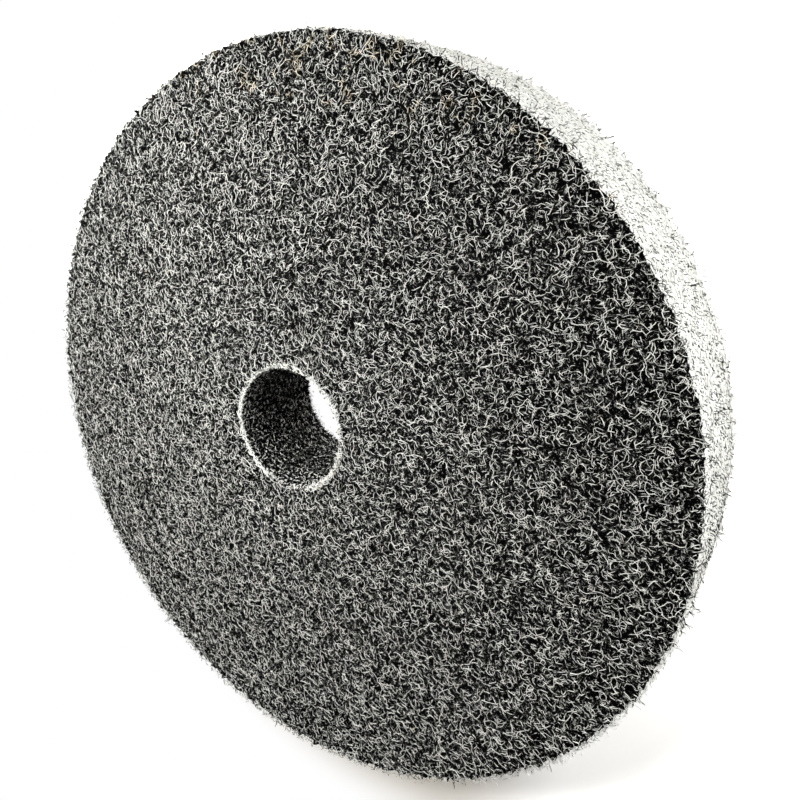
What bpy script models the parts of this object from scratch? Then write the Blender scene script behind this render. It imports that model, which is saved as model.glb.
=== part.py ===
"""A unitized deburring wheel: one thick disc of bonded abrasive fibre with a plain arbor hole.

The wheel lies on its back face. Its axis is +Z, and the origin is the middle of the back face.

Its whole surface is an open web. Rings of knots run round the axis, from the hole out over the
back face, up the rim, in over the front face and down through the hole. A knot either lies on
the nominal surface or is sunk into the disc as the floor of a pore, with ridges all round it.
"""

import math
import random

import bmesh
import bpy
from mathutils import Vector

# Driving dimensions, in metres.
WHEEL_DIAMETER = 0.1524
WHEEL_THICKNESS = 0.0254
ARBOR_HOLE_DIAMETER = 0.0254
EDGE_FRAY = 0.0009
FLANGE_LAND_WIDTH = 0.003
PORE_DEPTH_LEAST = 0.0012
PORE_DEPTH_MOST = 0.0026

# The web: knots in the outermost ring and at least in the ring round a small hole, how far a knot
# strays from an even layout, as a share of the spacing, and the share of pores that run together
# with a neighbour.
KNOTS_ROUND_RIM = 140
LEAST_KNOTS = 16
KNOT_STRAY = 0.3
JOINED_PORE_SHARE = 0.12
WEB_SEED = 11

# The fibre is dark grey nylon with dull resin.
FIBRE_COLOUR = (0.13, 0.128, 0.12, 1.0)
FIBRE_ROUGHNESS = 0.85

WHEEL_RADIUS = WHEEL_DIAMETER / 2
HOLE_RADIUS = ARBOR_HOLE_DIAMETER / 2
KNOT_SPACING = math.pi * WHEEL_DIAMETER / KNOTS_ROUND_RIM
RING_SPACING = KNOT_SPACING * math.sqrt(3) / 2


def clear_scene():
    for leftover in list(bpy.data.objects):
        bpy.data.objects.remove(leftover, do_unlink=True)


def knots_in_ring(radius):
    """Knots that a ring holds at about the even spacing, never too few for a round hole."""
    return max(LEAST_KNOTS, round(2 * math.pi * radius / KNOT_SPACING))


def even_steps(start, end):
    """Places from start to end, both included, about one ring spacing apart."""
    steps = max(2, round(abs(end - start) / RING_SPACING))
    return [start + (end - start) * step / steps for step in range(steps + 1)]


def ring_layout():
    """Each ring's radius, height, inward direction (radial, axial) and whether it may hold pores."""
    hole_edge = HOLE_RADIUS + EDGE_FRAY
    rim_edge = WHEEL_RADIUS - EDGE_FRAY
    # Round the hole, each face has a plain land, where the arbor's flange presses on it.
    face_radii = [hole_edge, *even_steps(hole_edge + FLANGE_LAND_WIDTH, rim_edge)]
    wall_heights = even_steps(EDGE_FRAY, WHEEL_THICKNESS - EDGE_FRAY)
    back = [(radius, 0.0, (0, 1)) for radius in face_radii]
    rim = [(WHEEL_RADIUS, height, (-1, 0)) for height in wall_heights]
    front = [(radius, WHEEL_THICKNESS, (0, -1)) for radius in reversed(face_radii)]
    hole = [(HOLE_RADIUS, height, (1, 0)) for height in reversed(wall_heights)]
    rings = []
    for surface in (back, rim, front, hole):
        for place, ring in enumerate(surface):
            at_edge = place in (0, len(surface) - 1)
            at_land = surface in (back, front) and ring[0] == face_radii[1]
            rings.append((*ring, not at_edge and not at_land))
    return rings


def add_ring(web, chance, radius, height, inward, may_sink):
    """Adds one ring of knots to the mesh: a list of each knot's angle, vertex and way in."""
    count = knots_in_ring(radius)
    room = KNOT_STRAY * RING_SPACING if may_sink else EDGE_FRAY / 2
    turn = chance.random()
    most_stray = KNOT_STRAY
    on_hole_wall = inward[0] > 0
    if on_hole_wall:
        # The knots keep an even spacing a little further out, so each facet clears the arbor.
        most_stray = 0.0
        radius = radius / math.cos(math.pi / count)
    ring = []
    for place in range(count):
        stray = chance.uniform(-most_stray, most_stray)
        angle = 2 * math.pi * (place + turn + stray) / count
        # The knot strays along the surface, at right angles to the way in.
        across = chance.uniform(-room, room)
        knot_radius = radius + abs(inward[1]) * across
        knot_height = height + abs(inward[0]) * across
        outward = Vector((math.cos(angle), math.sin(angle), 0.0))
        vertex = web.verts.new(knot_radius * outward + Vector((0.0, 0.0, knot_height)))
        way_in = inward[0] * outward + Vector((0.0, 0.0, inward[1]))
        ring.append((angle, vertex, way_in if may_sink else None))
    return ring


def join_rings(web, first, second):
    """Joins two rings of knots with a band of triangles, in step with their angles."""

    def knot(ring, place):
        turns, index = divmod(place, len(ring))
        angle, vertex, _ = ring[index]
        return angle + 2 * math.pi * turns, vertex

    along_first, along_second = 0, 0
    while along_first < len(first) or along_second < len(second):
        angle_first, next_first = knot(first, along_first + 1)
        angle_second, next_second = knot(second, along_second + 1)
        ends = [knot(second, along_second)[1], knot(first, along_first)[1]]
        second_is_done = along_second == len(second)
        first_is_behind = along_first < len(first) and angle_first < angle_second
        if second_is_done or first_is_behind:
            web.faces.new([*ends, next_first])
            along_first += 1
        else:
            web.faces.new([*ends, next_second])
            along_second += 1


def sink_pores(chance, rings):
    """Sinks knots picked at random, few of them next to each other, so that ridges stay between."""
    knots = [(vertex, way_in) for ring in rings for _, vertex, way_in in ring if way_in]
    chance.shuffle(knots)
    pores = set()
    for vertex, way_in in knots:
        beside_pore = any(edge.other_vert(vertex) in pores for edge in vertex.link_edges)
        joins = chance.random() < JOINED_PORE_SHARE
        depth = chance.uniform(PORE_DEPTH_LEAST, PORE_DEPTH_MOST)
        if joins or not beside_pore:
            pores.add(vertex)
            vertex.co += depth * way_in


def fibre_material():
    material = bpy.data.materials.new("bonded_nylon_fibre")
    material.use_nodes = True
    shader = material.node_tree.nodes["Principled BSDF"]
    shader.inputs["Base Color"].default_value = FIBRE_COLOUR
    shader.inputs["Roughness"].default_value = FIBRE_ROUGHNESS
    shader.inputs["Metallic"].default_value = 0.0
    material.diffuse_color = FIBRE_COLOUR
    return material


def make_wheel():
    """The wheel as one closed body, with its pores sunk into it."""
    web = bmesh.new()
    chance = random.Random(WEB_SEED)
    rings = [add_ring(web, chance, *ring) for ring in ring_layout()]
    for index, ring in enumerate(rings):
        join_rings(web, ring, rings[(index + 1) % len(rings)])
    sink_pores(chance, rings)
    bmesh.ops.recalc_face_normals(web, faces=web.faces)
    mesh = bpy.data.meshes.new("abrasive_wheel")
    web.to_mesh(mesh)
    web.free()
    mesh.materials.append(fibre_material())
    wheel = bpy.data.objects.new("abrasive_wheel", mesh)
    bpy.context.scene.collection.objects.link(wheel)
    return wheel


clear_scene()
make_wheel()
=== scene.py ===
"""Looks of the deburring wheel: crimped nylon fibre, bonded with resin, over a dense dark body.

The fibres are closed three-sided tubes. They are laid as webs on the front, the back, the rim and
the wall of the hole, and the dense body closes the pores under them. Its black pores are painted
shade, where the real pores run deeper. The body is shaped from a cylinder as by hand. The webs
are laid from numbers, because thousands of crimped fibres can't be drawn one by one.
"""

import math

import bpy
import numpy as np
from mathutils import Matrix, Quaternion, Vector


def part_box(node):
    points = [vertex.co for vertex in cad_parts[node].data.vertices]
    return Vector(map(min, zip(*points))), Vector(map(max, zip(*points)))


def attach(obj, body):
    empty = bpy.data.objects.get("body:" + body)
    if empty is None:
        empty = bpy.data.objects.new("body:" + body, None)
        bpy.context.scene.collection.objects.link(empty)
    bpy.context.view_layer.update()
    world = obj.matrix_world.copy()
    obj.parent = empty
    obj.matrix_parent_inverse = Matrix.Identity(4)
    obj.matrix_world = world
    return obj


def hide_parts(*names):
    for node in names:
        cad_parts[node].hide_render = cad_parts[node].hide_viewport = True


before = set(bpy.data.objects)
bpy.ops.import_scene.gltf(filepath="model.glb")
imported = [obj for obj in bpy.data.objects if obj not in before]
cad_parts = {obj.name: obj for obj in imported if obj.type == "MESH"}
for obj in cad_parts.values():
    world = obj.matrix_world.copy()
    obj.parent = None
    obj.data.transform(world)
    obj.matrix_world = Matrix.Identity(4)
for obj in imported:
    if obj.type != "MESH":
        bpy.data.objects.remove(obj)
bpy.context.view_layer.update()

MM = 0.001
FULL_TURN = 2 * math.pi

# The solid that the fibres stand in for, its body, and the slot of what it is made of.
NODE = "abrasive_wheel"
BODY = "root"

# Sizes, read from the solid where its box gives them.
node_low, node_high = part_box(NODE)
RADIUS = (node_high[0] - node_low[0]) / 2
THICKNESS = node_high[2] - node_low[2]
HOLE_RADIUS = 12.7 * MM

# How deep the dense body lies under the open web: under the faces, under the cut rim and under
# the cut wall of the hole. Along both cuts, a low lip of it stands almost as high as the faces.
# The real pores are deeper, but past this depth they are black in the photo.
FACE_DEPTH = 0.6 * MM
RIM_DEPTH = 0.26 * MM
HOLE_DEPTH = 0.45 * MM
LIP_DEPTH = 0.25 * MM
LIP_WIDTH = 0.6 * MM

CAMERA_PLACE = Vector((0.0, -101.2, 129.3)) * MM
CAMERA_AIM = Vector((13.45, -17.03, 25.4)) * MM
CAMERA_ROLL = math.radians(-109.05)
CAMERA_LENS = 31.5
CAMERA_SHIFT = (0.1074, -0.0793)
CAMERA_CLIP = 5 * MM

# Three soft boxes of one size. Each has a name, a power in watts and a place in metres.
LAMP_SIZE = 80 * MM
LAMPS = (
    ("over_face", 0.3, (0.055, -0.005, 0.13)),
    ("before_rim", 0.25, (-0.04, -0.21, 0.03)),
    ("off_top", 0.26, (0.25, -0.15, 0.2)),
)

# How much light the room's walls and its ceiling give, and the height of a look, as a share of
# straight up, at which it meets the ceiling.
WALL_LIGHT = 1.5
CEILING_LIGHT = 0.12
CEILING_START = 0.45

# The floor, half its width, and how far it lies under the wheel.
FLOOR_REACH = 3.0
FLOOR_GAP = 0.1 * MM

# Colours of the nylon fibre, of its straw-coloured clumps, of the web under the open fibres, of
# the cut rim and of the floor, each from its pores or depths up. The darkest ones of the fibre, the
# clumps and the web are painted shade, in pores and where fibres dive under others.
FIBRE_SHADE = "#090909"
FIBRE_MIDDLE = "#6e6e69"
FIBRE_TOP = "#f0f0ea"
STRAW_SHADE = "#1f1a14"
STRAW_MIDDLE = "#a59678"
STRAW_TOP = "#f1e9d6"
BODY_PORE_SHADE = "#020202"
BODY_FIBRE = "#cacac4"
# Painted light: the cut rim is drawn pale for the strong light on it, though its fibre is the
# face's grey. Its pores are painted grey as shade.
CUT_PORE_SHADE = "#6c6c68"
CUT_FIBRE_LIT = "#e9e9e4"
CARD = "#e6e6e6"
# What the camera sees the card as, in linear RGBA, where the shadow falls and off it. It's past
# white, so that only the darker part of the shadow shows. The darker, warmer colour is a painted
# shadow, laid over the real one.
CARD_IN_SHADOW = (1.3, 1.2, 1.06, 1)
CARD_IN_LIGHT = (3.2, 3.15, 3.1, 1)
WHITE = (1, 1, 1, 1)

# Settings of nodes that come back in several materials.
ADD = {"operation": "ADD"}
SUBTRACT = {"operation": "SUBTRACT"}
MULTIPLY = {"operation": "MULTIPLY"}
MAXIMUM = {"operation": "MAXIMUM"}
SMOOTH_STEP = {"interpolation_type": "SMOOTHSTEP"}


def linear(hex_colour):
    """An sRGB hex colour as linear RGBA."""
    channels = [int(hex_colour[place : place + 2], 16) / 255 for place in (1, 3, 5)]
    return (*[c / 12.92 if c <= 0.04045 else ((c + 0.055) / 1.055) ** 2.4 for c in channels], 1.0)


# Part 1: where fibres may lie.


class Face:
    """A flat side of the wheel. A fibre's lay on it is along, across and depth under it."""

    def __init__(self, height, facing):
        self.height = height
        self.facing = facing

    def place(self, along, across, depth):
        """The points of a lay on the wheel, and the way out of the surface at each."""
        level = self.height - self.facing * depth
        points = np.stack([along, self.facing * across, level], axis=-1)
        out = np.zeros_like(points)
        out[..., 2] = self.facing
        return points, out

    def within(self, along, across, fray):
        """Whether a place is on the face, or past its edges by less than the fray."""
        radius = np.hypot(along, across)
        return (radius < RADIUS + fray) & (radius > HOLE_RADIUS - fray)

    def from_cut(self, along, across):
        """How far a place lies from the cut edge of the hole."""
        return np.hypot(along, across) - HOLE_RADIUS

    def cells(self, cell, turn):
        """The corners of square cells, a little over the edge, turned by an angle."""
        reach = RADIUS + 2 * cell
        marks = np.arange(-reach, reach + cell, cell)
        along, across = np.meshgrid(marks, marks, indexing="ij")
        return (
            along * math.cos(turn) - across * math.sin(turn),
            along * math.sin(turn) + across * math.cos(turn),
        )


class Wall:
    """The rim or the hole. A lay on it is along the arc, across the thickness and depth."""

    # Fibres on a wall stop this far over the floor, so that the wheel rests on its back face.
    foot = 0.1 * MM

    def __init__(self, radius, facing):
        self.radius = radius
        self.facing = facing
        self.length = FULL_TURN * radius

    def place(self, along, across, depth):
        """The points of a lay on the wheel, and the way out of the surface at each."""
        angle = along / self.radius
        reach = self.radius - self.facing * depth
        points = np.stack([reach * np.cos(angle), reach * np.sin(angle), across], axis=-1)
        out = np.stack([np.cos(angle), np.sin(angle), np.zeros_like(angle)], axis=-1)
        return points, out * self.facing

    def within(self, along, across, fray):
        """Whether a place is on the wall, or over the front face by less than the fray."""
        return (across < THICKNESS + fray) & (across > self.foot)

    def from_cut(self, along, across):
        """How far a place lies from the nearer edge."""
        return np.minimum(across, THICKNESS - across)

    def cells(self, cell, turn=0.0):
        """The corners of square cells, a little over both edges. They close, so none is turned."""
        columns = round(self.length / cell)
        arc = np.arange(columns + 1) * self.length / columns
        heights = np.arange(-cell, THICKNESS + 2 * cell, cell)
        return np.meshgrid(arc, heights, indexing="ij")

    def starts(self, chance, count):
        """Random places all over the wall."""
        return chance.uniform(0, self.length, count), chance.uniform(0, THICKNESS, count)


FRONT = Face(THICKNESS, 1)
BACK = Face(0.0, -1)
RIM = Wall(RADIUS, 1)
HOLE = Wall(HOLE_RADIUS, -1)


# Part 2: how fibres are laid. Each function gives lays: the place along, the place across and
# the depth of the knots of many fibres, with one fibre in each row. Lengths in pairs are in mm.

# The wheel's surface rises and falls in this many waves of these lengths, and each wave starts
# at this many times its own direction.
SWELL_WAVES = 6
SWELL_LENGTHS = (6.0, 20.0)
SWELL_START = 9

# How far the corners of cells stray, as a share of the cell.
CORNER_STRAY = 0.48

# How much tighter or wider than its web's bend a fibre curls, how much more it turns at the
# middle of a crimp, and the lengths of its crimps and of its dives.
BEND_RANGE = (0.5, 2.0)
CRIMP_TURN = 1.3
CRIMP_LENGTHS = (3.0, 8.0)
DIVE_LENGTHS = (1.6, 4.0)

# The length of a loose end and the depth of a dive are at least this share of the most.
LEAST_SHARE = 0.35

# How far the ends of one tuft stand from each other.
TUFT_WIDTH = 0.15 * MM

# How far from a round edge its ends have their roots, and how much they wander from knot to knot.
ROOT_BAND = (-1.0, 0.1)
EDGE_WANDER = 0.3

# The most that one fibre round an edge is turned against the next.
ROUND_TURN = 0.05


def swell(chance, along, across, height):
    """A soft unevenness of the surface."""
    total = np.zeros_like(along)
    for _ in range(SWELL_WAVES):
        turn = chance.uniform(0, FULL_TURN)
        pace = FULL_TURN / (chance.uniform(*SWELL_LENGTHS) * MM)
        way = along * math.cos(turn) + across * math.sin(turn)
        total += np.sin(pace * way + SWELL_START * turn)
    return total * height / (SWELL_WAVES / 2)


def cell_web(chance, surface, web):
    """Fibres along the borders of uneven cells: chains round a wall, and links between them."""
    along, across = surface.cells(web["cell"])
    for corners in (along, across):
        stray = chance.uniform(-CORNER_STRAY, CORNER_STRAY, corners.shape) * web["cell"]
        # The last column is the first one again, where the cells meet.
        stray[-1] = stray[0]
        corners += stray
    corner = np.stack([along, across])
    here, right = corner[:, :-1, :-1], corner[:, 1:, :-1]
    above, beyond = corner[:, :-1, 1:], corner[:, 1:, 1:]
    # Each cell is halved along one diagonal or the other, and a knot lies in each half.
    rising = chance.random(here.shape[1:]) < 0.5
    first = np.where(rising, here + above + beyond, here + right + above) / 3
    second = np.where(rising, here + right + beyond, beyond + right + above) / 3
    knots = np.stack([first, second], axis=2)
    _, columns, halves, rows = knots.shape
    depth = web["top"] + web["spread"] * chance.random((columns, halves, rows))
    depth += swell(chance, knots[0], knots[1], web["swell"])
    lay = np.concatenate([knots, depth[None]])
    chains = lay.reshape(3, columns * halves, rows).transpose(0, 2, 1)
    top_half = np.where(rising, lay[:, :, 0], lay[:, :, 1])[:, :, :-1]
    bottom_half = np.where(rising, lay[:, :, 1], lay[:, :, 0])[:, :, 1:]
    links = np.stack([top_half, bottom_half], axis=-1).reshape(3, -1, 2)
    return [chains[:, ::2], chains[:, 1::2], links]


def curls(chance, surface, web):
    """Crimped fibres, each a loop or two long, with their middles laid evenly over the surface."""
    pitch = web["pitch"]
    along, across = [corner.ravel() for corner in surface.cells(web["cell"], web["turn"])]
    along = along + chance.uniform(-0.5, 0.5, along.size) * web["cell"]
    across = across + chance.uniform(-0.5, 0.5, across.size) * web["cell"]
    each = (along.size, 1)
    knots = np.arange(web["steps"] + 1) * pitch
    # A fibre bends one way and then the other, on an arc of its own radius.
    bend = pitch / (web["bend"] * chance.uniform(*BEND_RANGE, each))
    crimp = FULL_TURN * knots / (chance.uniform(*CRIMP_LENGTHS, each) * MM)
    turns = bend * CRIMP_TURN * np.sin(crimp + chance.uniform(0, FULL_TURN, each))
    turns += chance.normal(0, web["kink"], turns.shape)
    heading = np.cumsum(turns, axis=1) + chance.uniform(0, FULL_TURN, each)
    path = np.cumsum(np.stack([np.cos(heading), np.sin(heading)]), axis=2) * pitch
    path -= path.mean(axis=2, keepdims=True)
    # It also dives under the others and comes up again.
    dive = FULL_TURN * knots / (chance.uniform(*DIVE_LENGTHS, each) * MM)
    wave = 0.5 + 0.5 * np.sin(dive + chance.uniform(0, FULL_TURN, each))
    depth = web["top"] + web["spread"] * wave * chance.uniform(LEAST_SHARE, 1.0, each)
    depth += web["rise"] * chance.random(each)
    return [np.stack([along[:, None] + path[0], across[:, None] + path[1], depth])]


def loose_ends(chance, surface, web):
    """Short fibre ends that stand out of a surface, swept one way by the cut."""
    count = web["count"]
    knots = (count, web["steps"] + 1)
    along, across = surface.starts(chance, count)
    # Some of the ends share a root, as a small tuft.
    mates = chance.integers(0, count, round(count * web["tufts"]))
    along[: len(mates)] = along[mates] + chance.normal(0, TUFT_WIDTH, len(mates))
    across[: len(mates)] = across[mates] + chance.normal(0, TUFT_WIDTH, len(mates))
    lean = np.radians(chance.uniform(*web["lean"], count))[:, None]
    lean = lean + np.cumsum(chance.normal(0.0, web["curl"], knots), axis=1)
    heading = (math.pi + chance.normal(0, web["astray"], count))[:, None]
    heading = heading + np.cumsum(chance.normal(0, web["curl"], knots), axis=1)
    reach = web["pitch"] * chance.uniform(LEAST_SHARE, 1.0, (count, 1))
    along = along[:, None] + np.cumsum(np.sin(lean) * np.cos(heading), axis=1) * reach
    across = across[:, None] + np.cumsum(np.sin(lean) * np.sin(heading), axis=1) * reach
    depth = web["top"] - np.cumsum(np.cos(lean), axis=1) * reach
    return [np.stack([along, across, depth])]


def edge_ends(chance, surface, web):
    """Cut fibre ends along a round edge of a face, as bristles that point over the edge."""
    pitch, count = web["pitch"], web["count"]
    knots = (count, web["steps"] + 1)
    angle = chance.uniform(0, FULL_TURN, count)
    radius = web["radius"] + chance.uniform(*ROOT_BAND, count) * MM
    heading = angle + web["over"] + chance.normal(0, web["astray"], count)
    heading = heading[:, None] + np.cumsum(chance.normal(0, EDGE_WANDER, knots), axis=1)
    reach = pitch * chance.uniform(LEAST_SHARE, 1.0, (count, 1))
    along = (radius * np.cos(angle))[:, None] + np.cumsum(np.cos(heading), axis=1) * reach
    across = (radius * np.sin(angle))[:, None] + np.cumsum(np.sin(heading), axis=1) * reach
    depth = web["top"] + web["spread"] * chance.random((count, 1))
    depth = depth + np.cumsum(chance.normal(0, EDGE_WANDER, knots), axis=1) * pitch
    return [np.stack([along, across, np.maximum(depth, web["proud"])])]


def edge_rounds(chance, surface, web):
    """Fibres that run round a cut edge of a face, close to it."""
    knots = (web["count"], web["steps"] + 1)
    angle = np.linspace(0, FULL_TURN, knots[1]) + chance.uniform(0, ROUND_TURN, (knots[0], 1))
    stray = chance.uniform(0, web["width"], knots)
    along = (web["radius"] + stray) * np.cos(angle)
    across = (web["radius"] + stray) * np.sin(angle)
    depth = web["top"] + web["spread"] * chance.random(knots)
    return [np.stack([along, across, depth])]


# Part 3: how lays become closed tubes, and tubes a mesh.

SIDES = 3

# A fibre is cut off where it dives past this depth, because the dense body hides it there.
DEEPEST = FACE_DEPTH + 0.2 * MM

# How much more fibres break off in some places than in others.
GAP_SWING = 1.5

# The way out is turned aside by this, so that a fibre that points straight out has a side too.
NUDGE = 0.1

# No vector counts as shorter than this, so that none is divided by nothing.
SHORTEST_VECTOR = 1e-12


def unit(vectors):
    """Vectors of the same directions, with a length of one."""
    lengths = np.linalg.norm(vectors, axis=-1, keepdims=True)
    return vectors / np.maximum(lengths, SHORTEST_VECTOR)


def tone_along(chance, surface, lay, points, web):
    """How pale each fibre is at each of its knots."""
    along, across, depth = lay
    # Painted shade: a fibre darkens the deeper it dives under the others.
    tone = web["tone"] - web["depth_shade"] * depth / MM
    # Painted light: a fibre is paler near a cut edge, where the edge catches light.
    tone = tone + web["edge_light"] * np.exp(-np.abs(surface.from_cut(along, across)) / web["edge_light_reach"])
    # Painted light and shade: fibres are paler or darker across the wheel, along X.
    tone = tone - web["light_slant"] * points[..., 0] / RADIUS
    tone = tone + chance.normal(0, web["vary"], (along.shape[0], 1))
    # Partly painted glints: the tone also changes at random from knot to knot.
    return tone + chance.normal(0, web["glint_mottle"], depth.shape)


def tube_faces(number, kept):
    """The walls of the tubes along the pieces that are kept, and the ends that close them."""
    start, end = number[:, :-1][kept], number[:, 1:][kept]
    walls = []
    for corner in range(SIDES):
        following = (corner + 1) % SIDES
        wall = (start[:, corner], start[:, following], end[:, following], end[:, corner])
        walls.append(np.stack(wall, axis=-1))
    before = np.zeros_like(kept)
    before[:, 1:] = kept[:, :-1]
    after = np.zeros_like(kept)
    after[:, :-1] = kept[:, 1:]
    heads = number[:, :-1][kept & ~before][:, ::-1]
    tails = number[:, 1:][kept & ~after]
    return np.concatenate(walls), np.concatenate([heads, tails])


def tubes(chance, surface, lay, web):
    """Closed three-sided tubes along a lay, cut off where it leaves the surface."""
    along, across, depth = lay
    fray = web["bite"] + chance.random(along.shape) * web["fray"]
    inside = surface.within(along, across, fray) & (depth < DEEPEST)
    thin = web["gaps"] * (1 + GAP_SWING * swell(chance, along, across, 1.0))[:, 1:]
    kept = inside[:, 1:] & inside[:, :-1] & (chance.random(thin.shape) > thin)
    points, out = surface.place(along, across, depth)
    ahead = np.gradient(points, axis=1)
    side = unit(np.cross(ahead, out + NUDGE * np.roll(out, 1, axis=-1)))
    up = unit(np.cross(side, ahead))
    reach = chance.uniform(*web["thickness"], (along.shape[0], 1, 1)) / 2
    ring = []
    for corner in range(SIDES):
        angle = math.pi / 2 + corner * FULL_TURN / SIDES
        ring.append(points + reach * (math.cos(angle) * side + math.sin(angle) * up))
    verts = np.stack(ring, axis=2)
    tone = tone_along(chance, surface, lay, points, web)
    tones = np.repeat(tone[..., None], SIDES, axis=2)
    number = np.arange(verts.size // 3).reshape(verts.shape[:3])
    walls, ends = tube_faces(number, kept)
    return verts.reshape(-1, 3), tones.ravel(), walls, ends


def web_mesh(name, parts):
    """One mesh of all the tubes, with their tone as an attribute."""
    verts, tones, walls, ends, offset = [], [], [], [], 0
    for part_verts, part_tones, part_walls, part_ends in parts:
        verts.append(part_verts)
        tones.append(part_tones)
        walls.append(part_walls + offset)
        ends.append(part_ends + offset)
        offset += len(part_verts)
    verts, tones = np.concatenate(verts), np.concatenate(tones)
    walls, ends = np.concatenate(walls), np.concatenate(ends)
    used, corners = np.unique(np.concatenate([walls.ravel(), ends.ravel()]), return_inverse=True)
    mesh = bpy.data.meshes.new(name)
    mesh.vertices.add(len(used))
    mesh.vertices.foreach_set("co", verts[used].astype(np.float32).ravel())
    mesh.loops.add(len(corners))
    mesh.loops.foreach_set("vertex_index", corners.astype(np.int32))
    # The walls come first, with four corners each, and then the ends, with three.
    wall_starts = np.arange(len(walls)) * 4
    end_starts = len(walls) * 4 + np.arange(len(ends)) * SIDES
    starts = np.concatenate([wall_starts, end_starts])
    mesh.polygons.add(len(starts))
    mesh.polygons.foreach_set("loop_start", starts.astype(np.int32))
    mesh.update(calc_edges=True)
    layer = mesh.attributes.new("tone", "FLOAT", "POINT")
    layer.data.foreach_set("value", tones[used].astype(np.float32))
    mesh.shade_smooth()
    piece = bpy.data.objects.new(name, mesh)
    bpy.context.scene.collection.objects.link(piece)
    return piece


# Part 4: materials. Patterns are cloud noise, and their sizes are in real millimetres.

# The middle value of a cloud pattern.
CLOUD_MIDDLE = 0.5

# Light and dark stretches of a fibre take turns over this length, and change its tone this much.
# They are partly dark grit and partly painted glints.
GRIT_AND_GLINT_SIZE = 0.7 * MM
GRIT_AND_GLINT_CONTRAST = 1.6
# The tones at which a fibre has its darkest, middle and top colour. The darkest is painted shade,
# where a fibre dives deep.
TONE_MARKS = (0.36, 0.63, 0.86)

# Straw-coloured clumps have this size and strength, and show where their pattern passes these
# marks. They lie this way from the axis, from so far out on, which lifts the pattern that much,
# and they fade between these depths under the front.
CLUMP_SIZE = 3.5 * MM
CLUMP_STRENGTH = 0.85
CLUMP_MARKS = (0.71, 0.76)
CLUMP_WAY = (0.75, -0.66, 0.0)
CLUMP_START = (50 * MM, 70 * MM)
CLUMP_LIFT = 0.15
CLUMP_DEPTHS = (1.2 * MM, 0.6 * MM)

# Each layer of lines in the web under the open fibres: the size of its loops, the shift of its
# pattern in loops, the width of its lines as a share of their pattern, and how pale they are.
LINE_LAYERS = (
    (1.25 * MM, (0.0, 0.0, 0.0), 0.03, 1.0),
    (1.0 * MM, (7.3, 1.1, 4.7), 0.034, 0.9),
    (0.85 * MM, (2.9, 8.2, 5.5), 0.036, 0.8),
)
# How much the lines waver, how often they dive in one loop, and the marks between which they
# come up.
LINE_WAVER = 0.6
LINE_DIVES = 1.7
LINE_MARKS = (0.46, 0.64)

# The cut rim has pores this far apart where their pattern is under these marks, and is uneven
# over this length.
FELT_PORE_SPACING = 0.6 * MM
FELT_PORE_MARKS = (0.33, 0.5)
FELT_GRAIN = 0.7 * MM

# Where the middle of the painted shadow lies on the card, and how far from there the card starts to
# be whiter and is whitest. Between the last two distances from the axis, it turns plain white.
SHADOW_PLACE = (-0.048, 0.06, 0.0)
SHADOW_REACH = (55 * MM, 82 * MM)
PLAIN_REACH = (1.28 * RADIUS, 1.55 * RADIUS)


def new_material(name):
    """A material with nodes, its node tree and its main shader."""
    material = bpy.data.materials.new(name)
    material.use_nodes = True
    tree = material.node_tree
    return material, tree, tree.nodes["Principled BSDF"]


def add_node(tree, kind, settings=(), inputs=()):
    """Adds a node, sets its properties and its inputs, and links an input given as a socket."""
    node = tree.nodes.new(kind)
    for key, value in dict(settings).items():
        setattr(node, key, value)
    for key, value in dict(inputs).items():
        if isinstance(value, bpy.types.NodeSocket):
            tree.links.new(value, node.inputs[key])
        else:
            node.inputs[key].default_value = value
    return node


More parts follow.
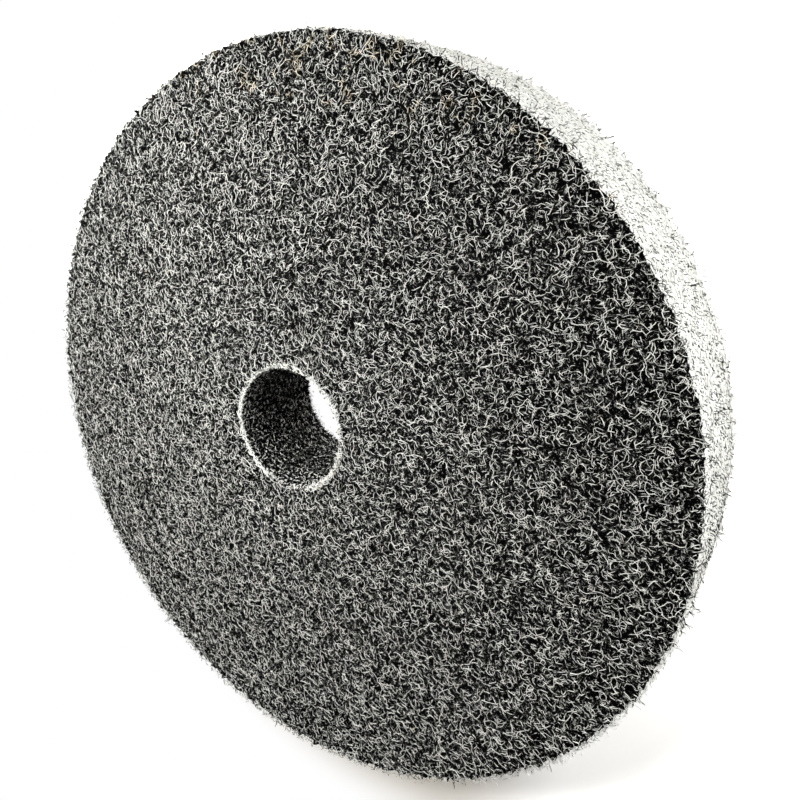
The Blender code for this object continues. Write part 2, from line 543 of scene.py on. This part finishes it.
def fibre_material():
    """Crimped nylon fibre in a coat of resin with fine grit, cured and then cut.

    The resin is dull, so a fibre has no clear gleam, and its glints are painted. Its light grey
    fades to near black where it dives under the others, which is painted shade, and pale
    stretches take turns with dark grit about every 0.7 mm, partly as painted glints.
    On the front, near one side, a few clumps of 3 to 4 mm have straw-coloured resin.
    """
    material, tree, shader = new_material("resin_coated_nylon_fibre")
    tone = add_node(tree, "ShaderNodeAttribute", {"attribute_name": "tone"}).outputs["Fac"]
    place = add_node(tree, "ShaderNodeTexCoord").outputs["Object"]
    grit_and_glints = add_node(
        tree, "ShaderNodeTexNoise", (), {"Vector": place, "Scale": 1 / GRIT_AND_GLINT_SIZE, "Detail": 1.0}
    )
    change = add_node(
        tree,
        "ShaderNodeMath",
        {"operation": "MULTIPLY_ADD"},
        {0: grit_and_glints.outputs["Fac"], 1: GRIT_AND_GLINT_CONTRAST, 2: -GRIT_AND_GLINT_CONTRAST * CLOUD_MIDDLE},
    )
    total = add_node(tree, "ShaderNodeMath", ADD, {0: change.outputs[0], 1: tone})
    grey = add_node(tree, "ShaderNodeValToRGB", (), {"Fac": total.outputs[0]})
    straw = add_node(tree, "ShaderNodeValToRGB", (), {"Fac": total.outputs[0]})
    for ramp, colours in (
        (grey, (FIBRE_SHADE, FIBRE_MIDDLE, FIBRE_TOP)),
        (straw, (STRAW_SHADE, STRAW_MIDDLE, STRAW_TOP)),
    ):
        ramp.color_ramp.elements.new(0.5)
        for element, mark, colour in zip(ramp.color_ramp.elements, TONE_MARKS, colours):
            element.position = mark
            element.color = linear(colour)
    clumps = add_node(
        tree, "ShaderNodeTexNoise", (), {"Vector": place, "Scale": 1 / CLUMP_SIZE, "Detail": 2.0}
    )
    away = add_node(
        tree, "ShaderNodeVectorMath", {"operation": "DOT_PRODUCT"}, {0: place, 1: CLUMP_WAY}
    )
    side = add_node(
        tree,
        "ShaderNodeMapRange",
        SMOOTH_STEP,
        {
            "Value": away.outputs["Value"],
            "From Min": CLUMP_START[0],
            "From Max": CLUMP_START[1],
            "To Max": CLUMP_LIFT,
        },
    )
    raised = add_node(
        tree, "ShaderNodeMath", ADD, {0: clumps.outputs["Fac"], 1: side.outputs["Result"]}
    )
    speck = add_node(
        tree,
        "ShaderNodeMapRange",
        SMOOTH_STEP,
        {
            "Value": raised.outputs[0],
            "From Min": CLUMP_MARKS[0],
            "From Max": CLUMP_MARKS[1],
            "To Max": CLUMP_STRENGTH,
        },
    )
    height = add_node(tree, "ShaderNodeSeparateXYZ", (), {0: place}).outputs["Z"]
    on_front = add_node(
        tree,
        "ShaderNodeMapRange",
        (),
        {
            "Value": height,
            "From Min": THICKNESS - CLUMP_DEPTHS[0],
            "From Max": THICKNESS - CLUMP_DEPTHS[1],
        },
    )
    tinted = add_node(
        tree,
        "ShaderNodeMath",
        MULTIPLY,
        {0: speck.outputs["Result"], 1: on_front.outputs["Result"]},
    )
    colour = add_node(
        tree,
        "ShaderNodeMix",
        {"data_type": "RGBA"},
        {"Factor": tinted.outputs[0], "A": grey.outputs["Color"], "B": straw.outputs["Color"]},
    )
    tree.links.new(colour.outputs["Result"], shader.inputs["Base Color"])
    shader.inputs["Roughness"].default_value = 0.7
    shader.inputs["Specular IOR Level"].default_value = 0.02
    return material


def thin_lines(tree, place, size, shift, width):
    """Curly lines where a cloud pattern passes its middle value. They dive and come up again."""
    moved = add_node(
        tree,
        "ShaderNodeMapping",
        (),
        {"Vector": place, "Location": shift, "Scale": (1 / size,) * 3},
    ).outputs["Vector"]
    cloud = add_node(
        tree,
        "ShaderNodeTexNoise",
        (),
        {"Vector": moved, "Scale": 1.0, "Detail": 1.0, "Distortion": LINE_WAVER},
    )
    off = add_node(tree, "ShaderNodeMath", SUBTRACT, {0: cloud.outputs["Fac"], 1: CLOUD_MIDDLE})
    away = add_node(tree, "ShaderNodeMath", {"operation": "ABSOLUTE"}, {0: off.outputs[0]})
    line = add_node(
        tree,
        "ShaderNodeMapRange",
        SMOOTH_STEP,
        {"Value": away.outputs[0], "From Max": width, "To Min": 1.0, "To Max": 0.0},
    )
    dive = add_node(
        tree, "ShaderNodeTexNoise", (), {"Vector": moved, "Scale": LINE_DIVES, "Detail": 1.0}
    )
    shown = add_node(
        tree,
        "ShaderNodeMapRange",
        SMOOTH_STEP,
        {"Value": dive.outputs["Fac"], "From Min": LINE_MARKS[0], "From Max": LINE_MARKS[1]},
    )
    return add_node(
        tree, "ShaderNodeMath", MULTIPLY, {0: line.outputs["Result"], 1: shown.outputs["Result"]}
    ).outputs[0]


def deep_web_material(name, darkest, palest):
    """The web under the open fibres: more of the same nylon, in black pores.

    It shows as thin grey curls that come and go on black, with loops of about 0.9 to 1.3 mm, which
    is the crimp of the real fibre. The black is painted shade, in pores that run deeper in the real
    wheel. The lower its darkest and palest marks, the more curls show.
    """
    material, tree, shader = new_material(name)
    place = add_node(tree, "ShaderNodeTexCoord").outputs["Object"]
    height = None
    for size, shift, width, strength in LINE_LAYERS:
        line = thin_lines(tree, place, size, shift, width)
        layer = add_node(tree, "ShaderNodeMath", MULTIPLY, {0: line, 1: strength}).outputs[0]
        if height is None:
            height = layer
        else:
            height = add_node(tree, "ShaderNodeMath", MAXIMUM, {0: height, 1: layer}).outputs[0]
    ramp = add_node(tree, "ShaderNodeValToRGB", (), {"Fac": height})
    ramp.color_ramp.elements[0].position = darkest
    ramp.color_ramp.elements[1].position = palest
    ramp.color_ramp.elements[0].color = linear(BODY_PORE_SHADE)
    ramp.color_ramp.elements[1].color = linear(BODY_FIBRE)
    tree.links.new(ramp.outputs["Color"], shader.inputs["Base Color"])
    bump = add_node(
        tree, "ShaderNodeBump", (), {"Height": height, "Strength": 0.5, "Distance": 0.2 * MM}
    )
    tree.links.new(bump.outputs["Normal"], shader.inputs["Normal"])
    shader.inputs["Roughness"].default_value = 0.9
    shader.inputs["Specular IOR Level"].default_value = 0.01
    return material


def cut_rim_material():
    """The rim, where the moulded block was cut: dense, pale nylon felt with a matt, rough skin.

    Its pale colour is painted light, for the strong light on the rim: its fibre is the same grey as
    the face. Small grey pores of 0.2 to 0.3 mm, painted shade, show about every 0.6 mm, and the
    felt is uneven over 0.7 mm. The real pores are finer, and they are drawn as coarse as they need
    to show.
    """
    material, tree, shader = new_material("cut_nylon_painted_lit")
    place = add_node(tree, "ShaderNodeTexCoord").outputs["Object"]
    pores = add_node(
        tree,
        "ShaderNodeTexNoise",
        (),
        {"Vector": place, "Scale": 1 / FELT_PORE_SPACING, "Detail": 2.0},
    )
    solid = add_node(
        tree,
        "ShaderNodeMapRange",
        SMOOTH_STEP,
        {
            "Value": pores.outputs["Fac"],
            "From Min": FELT_PORE_MARKS[0],
            "From Max": FELT_PORE_MARKS[1],
        },
    )
    ramp = add_node(tree, "ShaderNodeValToRGB", (), {"Fac": solid.outputs["Result"]})
    ramp.color_ramp.elements[0].color = linear(CUT_PORE_SHADE)
    ramp.color_ramp.elements[1].color = linear(CUT_FIBRE_LIT)
    tree.links.new(ramp.outputs["Color"], shader.inputs["Base Color"])
    grain = add_node(
        tree, "ShaderNodeTexNoise", (), {"Vector": place, "Scale": 1 / FELT_GRAIN, "Detail": 2.0}
    )
    bump = add_node(
        tree,
        "ShaderNodeBump",
        (),
        {"Height": grain.outputs["Fac"], "Strength": 0.8, "Distance": 0.5 * MM},
    )
    tree.links.new(bump.outputs["Normal"], shader.inputs["Normal"])
    shader.inputs["Roughness"].default_value = 0.8
    shader.inputs["Specular IOR Level"].default_value = 0.2
    return material


def rays_that_see(tree, path):
    """Is 1 for the rays that show the backdrop: to the camera, in gloss and through glass."""
    glossy = add_node(
        tree, "ShaderNodeMath", MAXIMUM, {0: path["Is Camera Ray"], 1: path["Is Glossy Ray"]}
    )
    return add_node(
        tree, "ShaderNodeMath", MAXIMUM, {0: glossy.outputs[0], 1: path["Is Transmission Ray"]}
    ).outputs[0]


def card_material():
    """White card. It is seen near white, with the wheel's soft shadow left on it."""
    material, tree, _ = new_material("white_card")
    path = add_node(tree, "ShaderNodeLightPath").outputs
    seen = rays_that_see(tree, path)
    place = add_node(tree, "ShaderNodeTexCoord").outputs["Object"]
    # Painted shadow: the camera sees the card darker and warmer round the side on which the shadow
    # falls, and whiter away from it.
    from_shadow = add_node(
        tree, "ShaderNodeVectorMath", {"operation": "DISTANCE"}, {0: place, 1: SHADOW_PLACE}
    )
    off_shadow = add_node(
        tree,
        "ShaderNodeMapRange",
        SMOOTH_STEP,
        {
            "Value": from_shadow.outputs["Value"],
            "From Min": SHADOW_REACH[0],
            "From Max": SHADOW_REACH[1],
        },
    )
    bright = add_node(
        tree,
        "ShaderNodeMix",
        {"data_type": "RGBA"},
        {"Factor": off_shadow.outputs["Result"], "A": CARD_IN_SHADOW, "B": CARD_IN_LIGHT},
    )
    white = add_node(
        tree,
        "ShaderNodeMix",
        {"data_type": "RGBA"},
        {"Factor": seen, "A": linear(CARD), "B": bright.outputs["Result"]},
    )
    diffuse = add_node(tree, "ShaderNodeBsdfDiffuse", (), {"Color": white.outputs["Result"]})
    # The floor well away from the wheel is plain white. Under the hole it is painted light: the
    # card there lies in the wheel's shade, but it glows white to the camera.
    away = add_node(tree, "ShaderNodeVectorMath", {"operation": "LENGTH"}, {0: place})
    painted_light_under_hole = add_node(
        tree,
        "ShaderNodeMath",
        {"operation": "LESS_THAN"},
        {0: away.outputs["Value"], 1: 2 * HOLE_RADIUS},
    )
    far_off = add_node(
        tree,
        "ShaderNodeMapRange",
        SMOOTH_STEP,
        {"Value": away.outputs["Value"], "From Min": PLAIN_REACH[0], "From Max": PLAIN_REACH[1]},
    )
    plain = add_node(
        tree, "ShaderNodeMath", MAXIMUM, {0: painted_light_under_hole.outputs[0], 1: far_off.outputs["Result"]}
    )
    shown = add_node(
        tree, "ShaderNodeMath", MULTIPLY, {0: plain.outputs[0], 1: path["Is Camera Ray"]}
    )
    glow = add_node(tree, "ShaderNodeEmission", (), {"Color": WHITE, "Strength": 1.0})
    mixed = add_node(
        tree,
        "ShaderNodeMixShader",
        (),
        {0: shown.outputs[0], 1: diffuse.outputs["BSDF"], 2: glow.outputs["Emission"]},
    )
    tree.links.new(mixed.outputs["Shader"], tree.nodes["Material Output"].inputs["Surface"])
    return material


# Part 5: the dense body under the web.

# The cylinder that it is shaped from has this many corners. Its walls are cut through this far
# from each face, so that a frayed edge bends only the band beside it.
BODY_CORNERS = 900
BAND_WIDTH = 2 * MM
SHARP_ANGLE = math.radians(30)

# A corner is on an edge of the body, or a side on its rim, where it lies within this distance.
AT_EDGE = 0.01 * MM
AT_RIM = 0.1 * MM

# A side is upright where the height of its normal is less than this, and level where it is more.
UPRIGHT = 0.1
LEVEL = 0.9

# The places of the second and third material on the body. The first one is on the front and in
# the hole.
RIM_SKIN = 1
BACK_WEB = 2

# The edges are frayed in three rows of bites, with so many bites round the wheel, 2 to 5 mm each.
# In mm: how far an edge drops, how much a bite adds to that, how far each knot strays from it,
# and how far it is nicked inwards at most.
EDGE_BITES = (97, 151, 233)
EDGE_DROP = 0.45
BITE_DROP = 0.5
DROP_STRAY = (-0.6, 0.8)
MOST_NICK = 0.5
FRAY_SEED = 5


def dress(piece):
    """Puts a piece on the wheel's body, in place of the plain solid."""
    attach(piece, BODY)
    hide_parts(NODE)


def pick_caps():
    """Selects the two flat ends of a piece."""
    bpy.ops.object.mode_set(mode="OBJECT")
    for face in bpy.context.object.data.polygons:
        face.select = len(face.vertices) > 4
    bpy.ops.object.mode_set(mode="EDIT")


def fray_edges(piece, outer, inner):
    """Nicks the round edges of the dense body, as a cut through fibre leaves them."""
    chance = np.random.default_rng(FRAY_SEED)
    starts = chance.uniform(0, FULL_TURN, len(EDGE_BITES))
    for vertex in piece.data.vertices:
        radius = math.hypot(vertex.co.x, vertex.co.y)
        from_face = min(vertex.co.z, THICKNESS - vertex.co.z)
        on_edge = abs(from_face - LIP_DEPTH) < AT_EDGE
        nick = 1 - chance.uniform(0.0, MOST_NICK) * MM / RADIUS
        angle = math.atan2(vertex.co.y, vertex.co.x)
        waves = [math.sin(angle * pace + start) for pace, start in zip(EDGE_BITES, starts)]
        bites = sum(waves) / len(waves)
        drop = (EDGE_DROP + BITE_DROP * bites + chance.uniform(*DROP_STRAY)) * MM
        on_rim = on_edge and radius > outer - AT_RIM
        in_hole = on_edge and radius < inner + AT_RIM
        if on_rim:
            vertex.co.x *= nick
            vertex.co.y *= nick
        if on_rim or in_hole:
            vertex.co.z += drop if vertex.co.z < THICKNESS / 2 else -drop


def make_dense_body():
    """The dense web under the open fibres: a ring with a sunk bed in each face and low lips."""
    bpy.ops.object.select_all(action="DESELECT")
    outer = RADIUS - RIM_DEPTH
    inner = HOLE_RADIUS + HOLE_DEPTH
    bpy.ops.mesh.primitive_cylinder_add(
        vertices=BODY_CORNERS,
        radius=outer,
        depth=THICKNESS - 2 * LIP_DEPTH,
        location=(0, 0, THICKNESS / 2),
    )
    piece = bpy.context.object
    piece.name = "dense_body"
    piece.data.name = "dense_body"
    bpy.ops.object.transform_apply(location=True, rotation=False, scale=False)
    bpy.ops.object.mode_set(mode="EDIT")
    bpy.ops.mesh.select_mode(type="FACE")
    pick_caps()
    # Each end gets its outer lip, its bed and its inner lip, and then the hole joins both ends.
    bpy.ops.mesh.inset(thickness=LIP_WIDTH, depth=LIP_DEPTH - FACE_DEPTH)
    bpy.ops.mesh.inset(thickness=outer - inner - 2 * LIP_WIDTH, depth=0.0)
    bpy.ops.mesh.inset(thickness=LIP_WIDTH, depth=FACE_DEPTH - LIP_DEPTH)
    bpy.ops.mesh.bridge_edge_loops()
    for level in (BAND_WIDTH, THICKNESS - BAND_WIDTH):
        bpy.ops.mesh.select_all(action="SELECT")
        bpy.ops.mesh.bisect(plane_co=(0, 0, level), plane_no=(0, 0, 1))
    bpy.ops.mesh.select_all(action="SELECT")
    bpy.ops.mesh.normals_make_consistent(inside=False)
    bpy.ops.object.mode_set(mode="OBJECT")
    # Fewer open fibres lie on the back, so more of the web under them shows there.
    for material in (
        deep_web_material("dense_bonded_web", darkest=0.34, palest=0.78),
        cut_rim_material(),
        deep_web_material("bonded_web_of_the_back", darkest=0.12, palest=0.64),
    ):
        piece.data.materials.append(material)
    for face in piece.data.polygons:
        if abs(face.normal.z) < UPRIGHT and math.hypot(*face.center[:2]) > outer - AT_RIM:
            face.material_index = RIM_SKIN
        elif face.normal.z < -LEVEL:
            face.material_index = BACK_WEB
    fray_edges(piece, outer, inner)
    bpy.ops.object.shade_smooth_by_angle(angle=SHARP_ANGLE)
    dress(piece)


# Part 6: the webs.

# What the settings of a web mean, where a web has them:
# cell, turn: the even layout that its fibres or knots are strayed from, and its angle.
# count, tufts: how many loose ends or rounds it has, and the share of them that share a root.
# steps, pitch: how many pieces a fibre has, and how long they are.
# bend, kink, curl: the radius of its arcs, and how much it turns at random from knot to knot.
# lean, over, astray: how far an end leans over, which way it points, and how much that varies.
# radius, width: the round edge that a web lies along, and how wide it is.
# top, spread, rise, swell: how deep it lies, how far it dives, and by how much that varies.
# proud: the least depth that an end has. It stands out where that is less than nothing.
# bite, fray: how far a web stands over an edge at least, and how much further at most.
# gaps: the share of its pieces that are left out.
# tone, vary, glint_mottle: how pale it is, and how much that differs from fibre to fibre and along
# one. The change along one is partly painted glints.
# depth_shade, light_slant: painted shade, as how fast it darkens with each mm of depth, and
# painted light and shade, as how it darkens from the axis to the rim, toward +X.
# edge_light, edge_light_reach: painted light, as how much paler it is at a cut edge, and how far
# that reaches.
# thickness: the least and the most. A real fibre with its resin is 0.05 to 0.15 mm thick. Those
# on the front are drawn as thin, and others a little thicker, because fewer of them lie there.

# What all webs start from.
FIBRE = {
    "gaps": 0.15,
    "glint_mottle": 0.2,
    "light_slant": 0.0,
    "edge_light": 0.0,
    "edge_light_reach": 0.7 * MM,
}
CURLS = {
    **FIBRE,
    "cell": 2.22 * MM,
    "turn": 1.1,
    "steps": 9,
    "pitch": 0.67 * MM,
    "bend": 0.85 * MM,
    "kink": 0.32,
    "top": 0.0,
    "spread": 0.6 * MM,
    "rise": 0.1 * MM,
    "bite": -0.2 * MM,
    "fray": 0.7 * MM,
    "gaps": 0.02,
    "tone": 1.45,
    "vary": 0.2,
    "glint_mottle": 0.28,
    "depth_shade": 3.2,
    "light_slant": -0.02,
    "edge_light": 0.7,
    "thickness": (0.085 * MM, 0.15 * MM),
}
LOW_CURLS = {
    **CURLS,
    "turn": 2.3,
    "top": 0.05 * MM,
    "thickness": (0.065 * MM, 0.12 * MM),
}
DEEP_CURLS = {
    **CURLS,
    "turn": 0.2,
    "bend": 0.75 * MM,
    "top": 0.1 * MM,
    "tone": 1.35,
    "thickness": (0.065 * MM, 0.12 * MM),
}
CROSS_CURLS = {
    **CURLS,
    "cell": 3.1 * MM,
    "turn": 1.8,
    "spread": 0.5 * MM,
}
BACK_CURLS = {
    **CURLS,
    "cell": 4.8 * MM,
    "turn": 0.9,
    "pitch": 0.78 * MM,
    "top": 0.05 * MM,
    "spread": 0.5 * MM,
    "depth_shade": 1.6,
    "thickness": (0.13 * MM, 0.2 * MM),
}
# Painted shade: the wall of the hole is drawn darker than the faces. It is paler near its cut edges
# as painted light.
HOLE_CURLS = {
    **CURLS,
    "cell": 1.15 * MM,
    "turn": 0.0,
    "steps": 4,
    "pitch": 0.26 * MM,
    "bend": 0.4 * MM,
    "top": 0.03 * MM,
    "spread": 0.4 * MM,
    "bite": 0.0,
    "fray": 0.1 * MM,
    "gaps": 0.15,
    "tone": 0.75,
    "vary": 0.25,
    "depth_shade": 0.9,
    "light_slant": 0.0,
    "edge_light": 2.1,
    "edge_light_reach": 3.4 * MM,
    "thickness": (0.12 * MM, 0.21 * MM),
}
# Painted light: the rim's fibres are drawn paler than the face's, for the strong light on the rim.
RIM_CELLS = {
    **FIBRE,
    "cell": 1.85 * MM,
    "top": 0.0,
    "spread": 0.26 * MM,
    "swell": 0.04 * MM,
    "bite": -0.8 * MM,
    "fray": 1.0 * MM,
    "tone": 1.35,
    "vary": 0.25,
    "glint_mottle": 0.1,
    "depth_shade": 0.0,
    "thickness": (0.15 * MM, 0.24 * MM),
}
# Painted light and shade: the nibs are paler toward +X and darker toward -X.
RIM_NIBS = {
    **FIBRE,
    "count": 12100,
    "tufts": 0.05,
    "steps": 1,
    "pitch": 0.46 * MM,
    "curl": 0.2,
    "lean": (50, 80),
    "astray": 0.35,
    "top": 0.1 * MM,
    "bite": 0.0,
    "fray": 0.1 * MM,
    "gaps": 0.0,
    "tone": 0.42,
    "vary": 0.18,
    "depth_shade": 0.0,
    "light_slant": -0.75,
    "thickness": (0.08 * MM, 0.15 * MM),
}
RIM_ENDS = {
    **RIM_NIBS,
    "count": 560,
    "tufts": 0.5,
    "steps": 4,
    "pitch": 0.44 * MM,
    "curl": 0.3,
    "lean": (5, 50),
    "tone": 0.5,
    "thickness": (0.1 * MM, 0.15 * MM),
}
# Painted light and shade: these bristles are paler toward -X and darker toward +X.
EDGE_ENDS = {
    **FIBRE,
    "count": 1700,
    "steps": 2,
    "pitch": 0.65 * MM,
    "over": 0.0,
    "astray": 0.8,
    "radius": RADIUS,
    "top": 0.0,
    "spread": 0.9 * MM,
    "proud": 0.0,
    "bite": 0.0,
    "fray": 1.6 * MM,
    "gaps": 0.0,
    "tone": 0.6,
    "vary": 0.3,
    "depth_shade": 0.3,
    "light_slant": 0.6,
    "thickness": (0.11 * MM, 0.17 * MM),
}
# Painted light: the ends and rounds at the cut edge of the hole are pale, as the bright ring that
# the edge catches.
HOLE_ENDS = {
    **EDGE_ENDS,
    "count": 620,
    "pitch": 0.32 * MM,
    "over": math.pi,
    "astray": 1.4,
    "radius": HOLE_RADIUS + 0.5 * MM,
    "spread": 0.5 * MM,
    "proud": -0.25 * MM,
    "fray": 0.5 * MM,
    "tone": 1.35,
    "vary": 0.5,
    "light_slant": 0.0,
    "thickness": (0.16 * MM, 0.26 * MM),
}
# Painted light: the ends at the back edge of the hole are pale, as if lit from behind through the
# hole.
HOLE_BACK_ENDS = {
    **HOLE_ENDS,
    "count": 260,
    "pitch": 0.5 * MM,
    "astray": 0.7,
    "radius": HOLE_RADIUS + 0.3 * MM,
    "proud": 0.0,
    "fray": 1.2 * MM,
    "thickness": (0.11 * MM, 0.17 * MM),
}
HOLE_ROUNDS = {
    **HOLE_ENDS,
    "count": 5,
    "steps": 130,
    "radius": HOLE_RADIUS,
    "width": 1.3 * MM,
    "gaps": 0.86,
    "tone": 1.3,
}

# Each piece: its name, the surface it lies on, and the layers that it holds. The open web of the
# front is shared out over four pieces, so that each keeps under 200,000 triangles.
WEB_SEED = 7
WEBS = (
    ("front_curls", FRONT, ((curls, CURLS),)),
    ("front_low_curls", FRONT, ((curls, LOW_CURLS),)),
    ("front_deep_curls", FRONT, ((curls, DEEP_CURLS),)),
    ("front_cross_curls", FRONT, ((curls, CROSS_CURLS),)),
    (
        "front_ends",
        FRONT,
        ((edge_ends, EDGE_ENDS), (edge_ends, HOLE_ENDS), (edge_rounds, HOLE_ROUNDS)),
    ),
    (
        "back_web",
        BACK,
        ((curls, BACK_CURLS), (edge_ends, EDGE_ENDS), (edge_ends, HOLE_BACK_ENDS)),
    ),
    ("rim_web", RIM, ((cell_web, RIM_CELLS),)),
    ("rim_ends", RIM, ((loose_ends, RIM_NIBS), (loose_ends, RIM_ENDS))),
    ("hole_web", HOLE, ((curls, HOLE_CURLS),)),
)


def make_webs():
    """All the fibres, piece by piece, from one row of random numbers."""
    material = fibre_material()
    chance = np.random.default_rng(WEB_SEED)
    for name, surface, layers in WEBS:
        parts = []
        for lay_out, web in layers:
            for lay in lay_out(chance, surface, web):
                parts.append(tubes(chance, surface, lay, web))
        piece = web_mesh(name, parts)
        piece.data.materials.append(material)
        dress(piece)


# Part 7: the floor, the light and the camera.


def make_floor():
    """One wide sheet of card under the wheel."""
    mesh = bpy.data.meshes.new("floor")
    corners = [(-1, -1), (1, -1), (1, 1), (-1, 1)]
    places = [(FLOOR_REACH * x, FLOOR_REACH * y, -FLOOR_GAP) for x, y in corners]
    mesh.from_pydata(places, [], [(0, 1, 2, 3)])
    mesh.materials.append(card_material())
    floor = bpy.data.objects.new("floor", mesh)
    bpy.context.scene.collection.objects.link(floor)


def add_lamp(name, power, place):
    """A small soft box, turned to the middle of the front face."""
    lamp = bpy.data.lights.new(name, "AREA")
    lamp.energy = power
    lamp.size = LAMP_SIZE
    box = bpy.data.objects.new(name, lamp)
    box.location = place
    aim = Vector((0.0, 0.0, THICKNESS)) - box.location
    box.rotation_euler = aim.to_track_quat("-Z", "Y").to_euler()
    bpy.context.scene.collection.objects.link(box)


def light_scene():
    """A white room with three soft boxes: over the face, low before the rim, and off the top."""
    world = bpy.data.worlds.new("studio")
    bpy.context.scene.world = world
    world.use_nodes = True
    tree = world.node_tree
    background = tree.nodes["Background"]
    place = add_node(tree, "ShaderNodeTexCoord").outputs["Generated"]
    height = add_node(tree, "ShaderNodeSeparateXYZ", (), {0: place}).outputs["Z"]
    # The walls give more light than the ceiling, so the pores between the fibres stay dark.
    room = add_node(
        tree,
        "ShaderNodeMapRange",
        SMOOTH_STEP,
        {"Value": height, "From Max": CEILING_START, "To Min": WALL_LIGHT, "To Max": CEILING_LIGHT},
    )
    seen = rays_that_see(tree, add_node(tree, "ShaderNodeLightPath").outputs)
    strength = add_node(
        tree,
        "ShaderNodeMix",
        {"data_type": "FLOAT"},
        {"Factor": seen, "A": room.outputs["Result"], "B": 1.0},
    )
    background.inputs["Color"].default_value = WHITE
    tree.links.new(strength.outputs["Result"], background.inputs["Strength"])
    for name, power, place in LAMPS:
        add_lamp(name, power, place)


def place_camera():
    """The camera at the photo's viewing angle and framing."""
    scene = bpy.context.scene
    camera = bpy.data.objects.new("camera", bpy.data.cameras.new("camera"))
    scene.collection.objects.link(camera)
    look = (CAMERA_AIM - CAMERA_PLACE).to_track_quat("-Z", "Y")
    camera.rotation_mode = "QUATERNION"
    camera.rotation_quaternion = look @ Quaternion((0.0, 0.0, 1.0), CAMERA_ROLL)
    camera.location = CAMERA_PLACE
    camera.data.lens = CAMERA_LENS
    camera.data.shift_x, camera.data.shift_y = CAMERA_SHIFT
    camera.data.clip_start = CAMERA_CLIP
    scene.camera = camera
    scene.view_settings.view_transform = "Standard"


place_camera()
light_scene()
make_floor()
make_dense_body()
make_webs()
